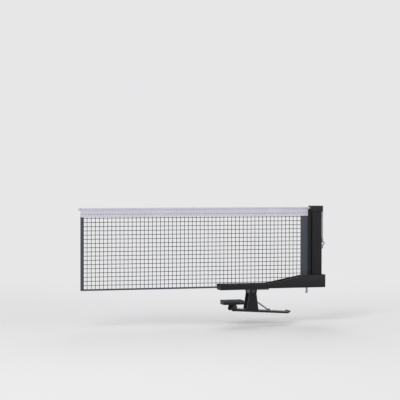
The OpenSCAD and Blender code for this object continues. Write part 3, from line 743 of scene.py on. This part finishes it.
def twine_length(shape, a, b, radius, sides=6, parts=2):
    """A straight length of twine, in parts, so that it can waver."""
    turn = (b - a).to_track_quat("Z", "Y").to_matrix().to_4x4()
    place = Matrix.Translation(a) @ turn
    ring = bmesh.ops.create_circle(shape, segments=sides, radius=radius, matrix=place)
    edges = list({edge for vert in ring["verts"] for edge in vert.link_edges})
    for _ in range(parts):
        grown = bmesh.ops.extrude_edge_only(shape, edges=edges)["geom"]
        edges = [g for g in grown if isinstance(g, bmesh.types.BMEdge)]
        bmesh.ops.translate(shape, verts=points_in(grown), vec=(b - a) / parts)


def knot_ring(shape, centre, axis, radius, thickness):
    """One turn of a knot."""
    axis = Vector(axis).normalized()
    side = axis.orthogonal().normalized()
    turn = Matrix((side, axis, side.cross(axis))).transposed().to_4x4()
    place = Matrix.Translation(centre + side * radius) @ turn
    ring = bmesh.ops.create_circle(shape, segments=4, radius=thickness, matrix=place)
    edges = list({edge for vert in ring["verts"] for edge in vert.link_edges})
    bmesh.ops.spin(
        shape, geom=ring["verts"] + edges, cent=centre, axis=axis, angle=math.tau, steps=7,
        use_merge=True,
    )


def waver(x, z, lane):
    """How far a twine strays to one side."""
    return 0.22 * mm * noise.noise(Vector((x * 60, lane, z * 60)))


def billow(x, z):
    """How far the hanging net stands out of its plane."""
    return 0.35 * mm * noise.noise(Vector((x * 14, 3.1, z * 17)))


cell = bmesh.new()
for way in (Vector((1, 0, 0)), Vector((0, 0, 1))):
    twine_length(cell, -way * PITCH / 2, way * PITCH / 2, TWINE_RADIUS)
knot_ring(cell, Vector((0, 0, 0)), KNOT_LEAN, KNOT_OUT, KNOT_RADIUS)
bmesh.ops.recalc_face_normals(cell, faces=cell.faces)
columns = repeat(UPRIGHTS + 2, (PITCH, 0, 0))
rows = repeat(LEVELS, (0, 0, PITCH))
net = bmesh.new()
net.from_mesh(as_mesh("netting", mesh_of(cell, "netting"), columns, rows))
bmesh.ops.remove_doubles(net, verts=net.verts, dist=1e-6)
bmesh.ops.translate(net, verts=net.verts, vec=(FIRST_UPRIGHT - UPRIGHTS * PITCH, 0, FIRST_LEVEL))
for spot, way in (
    ((NET_LEFT, 0, 0), (-1, 0, 0)),
    ((NET_RIGHT, 0, 0), (1, 0, 0)),
    ((0, 0, NET_LOW), (0, 0, -1)),
    ((0, 0, NET_HIGH), (0, 0, 1)),
):
    cut(net, spot, way, clear=True)
band_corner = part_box("net_side_band")[0]  # the net's edge is unbound below this corner
low_faces = [face for face in net.faces if face.calc_center_median().z < band_corner.z]
low_edges = list({edge for face in low_faces for edge in face.edges})
low_verts = list({vert for face in low_faces for vert in face.verts})
last_knots = FIRST_UPRIGHT + KNOT_OUT + 0.4 * mm  # the lowest twines are cut off flush with these
cut(net, (last_knots, 0, 0), (1, 0, 0), low_verts + low_edges + low_faces, clear=True)
bmesh.ops.holes_fill(net, edges=[edge for edge in net.edges if edge.is_boundary], sides=12)
for vert in net.verts:
    x, _, z = vert.co
    free = min(1.0, (x - NET_LEFT) / HELD_SIDE, (NET_RIGHT - x) / HELD_SIDE)
    free *= min(1.0, (z - NET_LOW) / HELD_EDGE, (NET_HIGH - z) / HELD_EDGE)
    free = max(0.0, free)
    vert.co.x += waver(x, z, 7.7) * free
    vert.co.z += waver(x, z, 1.3) * free
    if z > band_corner.z:  # the last knots are pressed flat where the side band is folded over them
        pressed = max(0.0, min(1.0, 1 + (x - band_corner.x) / (1 * mm)))
        vert.co.y *= 1 - KNOT_PRESS * pressed
    vert.co.y += billow(x, z) * free
twine = Finish("net_twine", specular_ior_level=0.3)
fibre = twine.mottle(0.5 * mm, 2)
age = twine.mottle(30 * mm, 2)
twine.surface(
    base_color=twine.tint(0.6 * fibre + 0.4 * age, (0.012, 0.016, 0.026), (0.040, 0.050, 0.074)),
    roughness=0.62 + 0.2 * fibre,
)
twine.relief(fibre, 0.06 * mm)
net_piece = fit("netting", solid(net, "netting", 80), "post", "net_twine", twine, "net_mesh")


# --- Top band ---------------------------------------------------------------------------
# White woven polyester, folded over the cord and the top of the net, 16.5 mm deep. A row of
# dark stitches closes it 5 mm above its lower edge, and a white row under the cord.
BAND_LEFT, BAND_RIGHT = -308 * mm, 127.1 * mm
HEM_Z = 150.7 * mm
HEM_RADIUS = 1.58 * mm
CLOTH = 0.42 * mm
STITCH_Z = 141.0 * mm
STITCH_PITCH = 5.48 * mm
UPPER_STITCH_Z = 148.2 * mm


def band_profile():
    """The band's middle line, from the front's lower edge over the cord to the back's."""
    heights = (
        (136.0, 0.98), (137.2, 0.92), (138.6, 0.80), (139.8, 0.66), (141, 0.52), (141.7, 0.54),
        (143, 0.56), (145, 0.54), (146.8, 0.48), (148.2, 0.42), (148.95, 0.62),
    )
    front = [Vector((0, -y, z)) * mm for z, y in heights]
    for k in range(9):
        angle = math.radians(-48 + 138 * k / 8)
        out = Vector((0, -math.cos(angle), math.sin(angle))) * HEM_RADIUS
        front.append(Vector((0, 0, HEM_Z)) + out)
    back = [Vector((p.x, -p.y, p.z)) for p in front[-2::-1]]
    return front + back


def drawn_out(profile, way, start, end, step):
    """A strip: the profile carried along from start to end."""
    shape = bmesh.new()
    way = Vector(way)
    spots = [shape.verts.new(point + way * start) for point in profile]
    lines = [shape.edges.new(pair) for pair in zip(spots, spots[1:])]
    count = round((end - start) / step)
    bmesh.ops.spin(
        shape, geom=spots + lines, cent=(0, 0, 0), axis=way, dvec=way * (end - start) / count,
        angle=0, steps=count,
    )
    return shape


def thick(name, shape, thickness):
    """The mesh of a strip of cloth, with its thickness and smooth sides."""
    bmesh.ops.recalc_face_normals(shape, faces=shape.faces)
    wall = ("SOLIDIFY", {"thickness": thickness, "offset": 0})
    cloth = as_mesh(name, mesh_of(shape, name), wall)
    walled = bmesh.new()
    walled.from_mesh(cloth)
    bmesh.ops.recalc_face_normals(walled, faces=walled.faces)
    return solid(walled, name, 50)


def pucker(x, z, row, pitch):
    """How deep a stitch in a row pulls the cloth in, from 0 to 1."""
    near = math.exp(-(((z - row) / (0.8 * mm)) ** 2))
    return near * (0.5 + 0.5 * math.cos(math.tau * x / pitch))


def stitch_row(name, slot, finish, start, end, pitch, length, radius, out, ripple):
    """A row of stitches from start to end, on both faces of a cloth that ripples."""
    run = end - start
    count = int(run.length / pitch)
    stitch = bmesh.new()
    bmesh.ops.create_uvsphere(stitch, u_segments=6, v_segments=5, radius=1)
    bmesh.ops.scale(stitch, vec=(radius, radius, length / 2), verts=stitch.verts)
    turn = run.to_track_quat("Z", "Y").to_matrix().to_4x4()
    bmesh.ops.transform(stitch, matrix=turn, verts=stitch.verts)
    row = as_mesh(name, mesh_of(stitch, name), repeat(count, run.normalized() * pitch))
    inset = (run.length - (count - 1) * pitch) / 2
    row.transform(Matrix.Translation(start + run.normalized() * inset))
    both = bmesh.new()
    both.from_mesh(row)
    back = set(points_in(bmesh.ops.duplicate(both, geom=all_of(both))["geom"]))
    for vert in both.verts:
        side = out if vert in back else -out
        x, _, z = vert.co
        vert.co.y += side + ripple(x, side, z)
    return fit(name, solid(both, name, 80), "post", slot, finish)


def sewing_thread(name, low, high, roughness=0.7):
    """Twisted thread, a little uneven in its shade."""
    made = Finish(name, roughness=roughness)
    made.surface(base_color=made.tint(made.mottle(0.5 * mm), low, high))
    made.relief(made.mottle(0.2 * mm), 0.03 * mm)
    return made


def woven(name, low, high, pitch, depth, roughness):
    """Plain weave, with painted shade between its threads and the slight unevenness of its threads."""
    made = Finish(name, roughness=roughness)
    warp = (made.place("X") * (math.tau / pitch)).sine()
    weft = (made.place("Z") * (math.tau / pitch)).sine()
    slub = made.mottle(1.4 * mm, 2, (0.25, 1, 1))
    soil = made.mottle(45 * mm, 3)
    # The hollows between the threads are painted darker as painted shade; slub and soil are the
    # cloth's own unevenness.
    weave = 0.5 + 0.5 * (warp * weft)
    shade = 0.35 * weave + 0.30 * slub + 0.35 * soil
    made.surface(base_color=made.tint(shade.above(0.2, 0.8), low, high))
    made.relief(weave + 0.5 * slub, depth)
    return made


def band_ripple(x, y, z):
    """How far the band's cloth stands off its plain shape, on the side that y lies."""
    hem = max(0.0, min(1.0, (z - 147 * mm) / (2 * mm)))
    puff = 0.16 * mm * noise.noise(Vector((x * 55, math.copysign(5, y), z * 120)))
    drift = 0.25 * mm * noise.noise(Vector((x * 12, 9.4, z * 8)))
    return (math.copysign(1, y) * puff + drift) * (1 - hem)


band = drawn_out(band_profile(), (1, 0, 0), BAND_LEFT, BAND_RIGHT, STITCH_PITCH / 4)
for vert in band.verts:
    x, y, z = vert.co
    pull = 0.3 * pucker(x - BAND_LEFT - STITCH_PITCH / 2, z, STITCH_Z, STITCH_PITCH)
    pull += 0.15 * pucker(x - BAND_LEFT, z, UPPER_STITCH_Z, STITCH_PITCH / 2)
    vert.co.y = y * (1 - pull) + band_ripple(x, y, z)
white_cloth = woven(
    "white_polyester", (0.50, 0.49, 0.56), (0.62, 0.61, 0.69), 0.55 * mm, 0.05 * mm, 0.78
)
band_mesh = thick("white_band", band, CLOTH)
band_piece = fit("white_band", band_mesh, "post", "white_band", white_cloth, "net_top_band")

dark_thread = sewing_thread("dark_thread", (0.022, 0.022, 0.032), (0.06, 0.06, 0.08))
white_thread = sewing_thread("white_thread", (0.50, 0.50, 0.54), (0.66, 0.66, 0.70), 0.65)
THREAD_OUT = 0.60 * mm
lower_stitches = stitch_row(
    "band_stitches_dark", "white_band", dark_thread, Vector((BAND_LEFT, 0, STITCH_Z)),
    Vector((BAND_RIGHT, 0, STITCH_Z)), STITCH_PITCH, 3.3 * mm, 0.46 * mm, THREAD_OUT, band_ripple,
)
upper_stitches = stitch_row(
    "band_stitches_white", "white_band", white_thread, Vector((BAND_LEFT, 0, UPPER_STITCH_Z)),
    Vector((BAND_RIGHT, 0, UPPER_STITCH_Z)), STITCH_PITCH / 2, 2.0 * mm, 0.22 * mm, THREAD_OUT,
    band_ripple,
)

# A smooth white patch lies on the band's front, between the lower stitches and the hem.
PATCH_LEFT, PATCH_RIGHT = 48.6 * mm, 78.4 * mm
PATCH_LOW = 141.6 * mm
PATCH_OUT = 0.30 * mm
front_line = [point for point in band_profile() if point.y < 0 and point.z > PATCH_LOW]
patch_line = [point - Vector((0, PATCH_OUT, 0)) for point in front_line[:-3]]
patch = drawn_out(patch_line, (1, 0, 0), PATCH_LEFT, PATCH_RIGHT, 1.5 * mm)
for vert in patch.verts:
    vert.co.y += band_ripple(*vert.co)
patch_cloth = woven(
    "white_patch", (0.54, 0.53, 0.60), (0.62, 0.61, 0.68), 0.35 * mm, 0.02 * mm, 0.5
)
patch_mesh = thick("bare_patch", patch, 0.16 * mm)
patch_piece = fit("bare_patch", patch_mesh, "post", "white_band", patch_cloth)


# --- Side band, end binding and bottom tape ---------------------------------------------
# Blue-grey woven tape folded over the net's edges: 14.2 mm wide at the post's end, 6 mm at
# the other end, and a narrow fold, 2.9 mm deep, along the bottom.
TAPE_STITCH = 3.2 * mm
TAPE_GAP = 0.52 * mm
TAPE_TUCK = 0.6 * mm


def folded(width, gap, rings=5):
    """A fold, half in front of the net and half behind it, as points (along, out)."""
    front = []
    for share in (0.0, 0.2, 0.4, 0.6, 0.8):
        front.append((width * share, -gap * (1.0 + 0.35 * math.sin(math.pi * share))))
    fold = []
    for k in range(rings + 1):
        angle = math.pi * k / rings - math.pi / 2
        fold.append((width - gap + gap * math.cos(angle), gap * math.sin(angle)))
    return front + fold + [(along, -out) for along, out in reversed(front)]


def tape_ripple(x, y, z):
    """How far a tape's cloth stands off its plain shape, on the side that y lies."""
    puff = 0.12 * mm * noise.noise(Vector((x * 45, math.copysign(2, y), z * 45)))
    return math.copysign(1, y) * puff


def tape(name, node, slot, finish, profile, way, start, end, step, thickness, rows=()):
    """A folded tape, pulled in along the rows that it is sewn in."""
    shape = drawn_out(profile, way, start, end, step)
    way = Vector(way)
    for vert in shape.verts:
        x, y, z = vert.co
        run, side = (z, x) if way.z else (x, z)
        pull = sum(0.3 * pucker(run, side, row, TAPE_STITCH) for row in rows)
        vert.co.y = y * (1 - pull) + tape_ripple(x, y, z) * min(1.0, abs(y) / (0.3 * mm))
    return fit(name, thick(name, shape, thickness), "post", slot, finish, node)


grey_cloth = woven(
    "grey_tape", (0.036, 0.042, 0.056), (0.060, 0.069, 0.090), 0.6 * mm, 0.06 * mm, 0.75
)
grey_thread = sewing_thread("grey_thread", (0.055, 0.062, 0.08), (0.10, 0.11, 0.13))


def upright_tape(name, node, profile, low, high, rows):
    """A grey tape over an upright edge of the net, with a row of stitches at each place."""
    sewn = tape(
        name, node, "grey_band", grey_cloth, profile, (0, 0, 1), low.z, high.z + TAPE_TUCK,
        0.8 * mm, 0.34 * mm, rows.values(),
    )
    stitches = [
        stitch_row(
            row, "grey_band", grey_thread, Vector((x, 0, low.z)), Vector((x, 0, high.z)),
            TAPE_STITCH, 2.2 * mm, 0.24 * mm, 0.72 * mm, tape_ripple,
        )
        for row, x in rows.items()
    ]
    return sewn, stitches


side_low, side_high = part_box("net_side_band")
side_width = side_high.x - side_low.x
side_profile = [Vector((side_low.x + a, b, 0)) for a, b in folded(side_width, TAPE_GAP)]
side_rows = {"side_stitches_0": side_low.x + 1.6 * mm, "side_stitches_1": side_high.x - 1.8 * mm}
side_piece, side_stitches = upright_tape(
    "side_band", "net_side_band", side_profile, side_low, side_high, side_rows
)

end_low, end_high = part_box("net_end_binding")
end_width = end_high.x - end_low.x
end_profile = [Vector((end_high.x - a, b, 0)) for a, b in folded(end_width, TAPE_GAP)]
end_rows = {"end_stitches": end_high.x - 1.4 * mm}
end_piece, end_stitches = upright_tape(
    "end_binding", "net_end_binding", end_profile, end_low, end_high, end_rows
)

tape_low, tape_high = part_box("net_bottom_tape")
tape_end = FIRST_UPRIGHT + KNOT_OUT + 0.5 * mm  # covers the foot of the net's last twine
BOTTOM_FOLD = 2.9 * mm
BOTTOM_GAP = 0.56 * mm
tape_top = tape_high.z + 0.9 * mm
bottom_profile = [Vector((0, b, tape_top - a)) for a, b in folded(BOTTOM_FOLD, BOTTOM_GAP)]
bottom_piece = tape(
    "bottom_tape", "net_bottom_tape", "net_twine", grey_cloth, bottom_profile, (1, 0, 0),
    tape_low.x, tape_end, 1.5 * mm, 0.26 * mm,
)


# --- Edge tape --------------------------------------------------------------------------
# Black woven tape, sewn to the side band. It passes through the slot in the post, and a rod
# in its sewn loop holds it there.
edge_low, edge_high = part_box("net_edge_tape")
rod_low, rod_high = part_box("net_edge_rod")
rod_x = (rod_low.x + rod_high.x) / 2
LOOP = 2.52 * mm
web = [Vector((x * mm, -0.27 * mm, 0)) for x in (124.6, 127, 129, 131, 133)]
loop = []
for k in range(17):
    angle = math.radians(-163 + 326 * k / 16)
    loop.append(Vector((rod_x + LOOP * math.cos(angle), LOOP * math.sin(angle), 0)))
edge_profile = web + loop + [Vector((p.x, -p.y, 0)) for p in reversed(web)]
black_cloth = woven(
    "black_tape", (0.008, 0.008, 0.010), (0.022, 0.022, 0.027), 0.7 * mm, 0.06 * mm, 0.8
)
edge_piece = tape(
    "edge_tape", "net_edge_tape", "black_tape", black_cloth, edge_profile, (0, 0, 1),
    edge_low.z, edge_high.z, 1.6 * mm, 0.36 * mm,
)
dress(zinc, "net_edge_rod")


# --- Height screw -----------------------------------------------------------------------
# An M4 screw, zinc plated, with a fluted head that hangs below the arm. Turned, it climbs in
# its nut and lifts the post. A clip in its neck's groove holds it in the post's foot.
SCREW_X = 125.2 * mm
THREAD = 0.7 * mm
SCREW_RADIUS = 2.0 * mm
CORE_RADIUS = 1.62 * mm
SHANK_RADIUS = CORE_RADIUS + 0.03 * mm
NECK_RADIUS = 1.5 * mm
GROOVE_RADIUS = NECK_RADIUS - 0.3 * mm
THREAD_TOP = 7.35 * mm
THREAD_RUNOUT = 0.5 * mm
HEAD_RADIUS = 2.6 * mm
HEAD_HEIGHT = 3.5 * mm
HEAD_BEVEL = 0.4 * mm
HEAD_FLAT = 0.86
FLUTES = 18
FLUTE_SHAPE = (1.0, 0.965, 0.90, 0.965)
SLOT_WIDTH = 1.0 * mm
SLOT_DEPTH = 1.2 * mm
screw_low, screw_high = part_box("height_screw")
clip_low, clip_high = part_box("screw_clip")
head_top = screw_low.z + HEAD_HEIGHT


def end_faces(shape):
    """The round faces at the two ends of the screw's head."""
    return [face for face in shape.faces if len(face.verts) > 8]


# The head is a fluted disc with sloping ends and a slot for a driver underneath.
head = bmesh.new()
rim = bmesh.ops.create_circle(head, cap_ends=True, segments=FLUTES * 4, radius=HEAD_RADIUS)
for k, vert in enumerate(sorted(rim["verts"], key=lambda v: math.atan2(v.co.y, v.co.x))):
    deep = FLUTE_SHAPE[k % 4]
    vert.co.x *= deep
    vert.co.y *= deep
grown = bmesh.ops.extrude_face_region(head, geom=head.faces[:])["geom"]
bmesh.ops.translate(head, verts=points_in(grown), vec=(0, 0, HEAD_HEIGHT))
for face in end_faces(head):
    bmesh.ops.inset_region(head, faces=[face], thickness=0.001 * mm, depth=0)
for face in end_faces(head):
    level = face.calc_center_median().z
    inward = -1 if level > HEAD_HEIGHT / 2 else 1
    for vert in face.verts:
        vert.co.x *= HEAD_FLAT
        vert.co.y *= HEAD_FLAT
    slopes = {f for v in face.verts for f in v.link_faces if f is not face and len(f.verts) == 4}
    for vert in {v for slope in slopes for v in slope.verts} - set(face.verts):
        if abs(vert.co.z - level) < 0.01 * mm:
            vert.co.z += inward * HEAD_BEVEL
for off in (-SLOT_WIDTH / 2, SLOT_WIDTH / 2):
    cut(head, (0, off, 0), (0, 1, 0))
slot_floor = []
for face in head.faces:
    middle = face.calc_center_median()
    if abs(middle.y) < 0.3 * mm and middle.z < 0.2 * mm and face.normal.z < -0.9:
        slot_floor.append(face)
grown = bmesh.ops.extrude_face_region(head, geom=slot_floor)["geom"]
bmesh.ops.translate(head, verts=points_in(grown), vec=(0, 0, SLOT_DEPTH))
bmesh.ops.delete(head, geom=[f for f in slot_floor if f.is_valid], context="FACES_ONLY")
bmesh.ops.translate(head, verts=head.verts, vec=(SCREW_X, 0, screw_low.z))
bmesh.ops.recalc_face_normals(head, faces=head.faces)

# The thread is a ridge wound up the shank.
TURN_STEPS = 24
thread = bmesh.new()
turns = (THREAD_TOP - THREAD_RUNOUT - head_top) / THREAD
ridge = [(-0.35, CORE_RADIUS), (-0.06, SCREW_RADIUS), (0.06, SCREW_RADIUS), (0.35, CORE_RADIUS)]
spots = [
    thread.verts.new((SCREW_X + r, 0, head_top - 0.15 * mm + a * THREAD)) for a, r in ridge
]
lines = [thread.edges.new(pair) for pair in zip(spots, spots[1:])]
bmesh.ops.spin(
    thread, geom=spots + lines, cent=(SCREW_X, 0, 0), axis=(0, 0, 1), angle=math.tau * turns,
    dvec=(0, 0, THREAD / TURN_STEPS), steps=round(turns * TURN_STEPS),
)
bmesh.ops.remove_doubles(thread, verts=thread.verts, dist=5e-6)
bmesh.ops.recalc_face_normals(thread, faces=thread.faces)

# The shank ends in a neck, with a groove for the clip.
shank_profile = [
    (head_top - 0.2 * mm, 0.0),
    (head_top - 0.2 * mm, SHANK_RADIUS),
    (THREAD_TOP - THREAD_RUNOUT - 0.1 * mm, SHANK_RADIUS),
    (THREAD_TOP - THREAD_RUNOUT, SCREW_RADIUS),
    (THREAD_TOP, SCREW_RADIUS),
    (THREAD_TOP, NECK_RADIUS),
    (clip_low.z - 0.02 * mm, NECK_RADIUS),
    (clip_low.z - 0.02 * mm, GROOVE_RADIUS),
    (clip_high.z + 0.02 * mm, GROOVE_RADIUS),
    (clip_high.z + 0.02 * mm, NECK_RADIUS),
    (screw_high.z - 0.25 * mm, NECK_RADIUS),
    (screw_high.z, GROOVE_RADIUS),
    (screw_high.z, 0.0),
]
screw = turned(shank_profile, (0, 0, 1), Vector((SCREW_X, 0, 0)), 32)
screw.from_mesh(mesh_of(head, "screw_head"))
screw.from_mesh(mesh_of(thread, "screw_thread"))
screw_mesh = solid(screw, "fluted_screw", 30)
fit("fluted_screw", screw_mesh, "screw", "zinc_steel", zinc, "height_screw")
dress(zinc, "screw_clip")


# --- Tension hook -----------------------------------------------------------------------
# Bent from 2.2 mm steel wire: a closed ring that the cord is tied to, a short shank, and a
# claw that catches in the slot in the post's outer face.
hook_steel = plated_steel("hook_steel", (0.22, 0.23, 0.25), (0.36, 0.37, 0.40), 0.28)
dress(hook_steel, "tension_hook")


# --- Floor and light --------------------------------------------------------------------
# A pale floor that fades into a pale surround, lit by three soft lamps and an even sky. The
# camera and shiny pieces see the surround instead of the sky.
FLOOR_Z = -66 * mm
SURROUND = (0.80, 0.80, 0.81)
floor_shape = bmesh.new()
bmesh.ops.create_circle(floor_shape, cap_ends=True, segments=64, radius=40)
bmesh.ops.translate(floor_shape, verts=floor_shape.verts, vec=(0, 0, FLOOR_Z))
floor_mesh = mesh_of(floor_shape, "floor")
floor = bpy.data.objects.new("floor", floor_mesh)
bpy.context.scene.collection.objects.link(floor)
paper = Finish("floor_paper", roughness=0.9, specular_ior_level=0.1)
paper.surface(base_color=SURROUND)
reach = paper.node(
    "ShaderNodeVectorMath", {"operation": "LENGTH"}, {0: paper.place()}, output="Value"
)
glow = paper.node("ShaderNodeEmission", inputs={"Color": SURROUND, "Strength": 1.0})
mixed = paper.node(
    "ShaderNodeMixShader",
    inputs={0: reach.above(0.35, 1.5), 1: Signal(paper, paper.shader.outputs[0]), 2: glow},
)
paper.links.new(mixed.socket, paper.nodes["Material Output"].inputs["Surface"])
floor_mesh.materials.append(paper.material)

world = bpy.data.worlds.new("surround")
bpy.context.scene.world = world
world.use_nodes = True
sky = world.node_tree
rays = sky.nodes.new("ShaderNodeLightPath")
seen = rays.outputs["Is Camera Ray"]
for ray in ("Is Glossy Ray", "Is Transmission Ray"):
    either = sky.nodes.new("ShaderNodeMath")
    either.operation = "MAXIMUM"
    sky.links.new(seen, either.inputs[0])
    sky.links.new(rays.outputs[ray], either.inputs[1])
    seen = either.outputs[0]
lighting = sky.nodes["Background"]
lighting.inputs["Color"].default_value = (1.0, 1.0, 1.0, 1.0)
lighting.inputs["Strength"].default_value = 0.55
backdrop = sky.nodes.new("ShaderNodeBackground")
backdrop.inputs["Color"].default_value = (*SURROUND, 1.0)
chosen = sky.nodes.new("ShaderNodeMixShader")
sky.links.new(seen, chosen.inputs[0])
sky.links.new(lighting.outputs[0], chosen.inputs[1])
sky.links.new(backdrop.outputs[0], chosen.inputs[2])
sky.links.new(chosen.outputs[0], sky.nodes["World Output"].inputs["Surface"])

LAMPS = (
    ("key", (-1.3, -1.5, 1.5), 1.1, 22.0),
    ("fill", (1.6, -1.2, 0.7), 1.2, 8.0),
    ("back", (0.5, 1.7, 1.3), 1.2, 12.0),
)
AIM = Vector((-60, 0, 60)) * mm
for name, spot, size, watts in LAMPS:
    lamp = bpy.data.lights.new(name, "AREA")
    lamp.shape = "DISK"
    lamp.size = size
    lamp.energy = watts
    shown = bpy.data.objects.new(name, lamp)
    shown.location = spot
    shown.rotation_euler = (AIM - Vector(spot)).to_track_quat("-Z", "Y").to_euler()
    bpy.context.scene.collection.objects.link(shown)
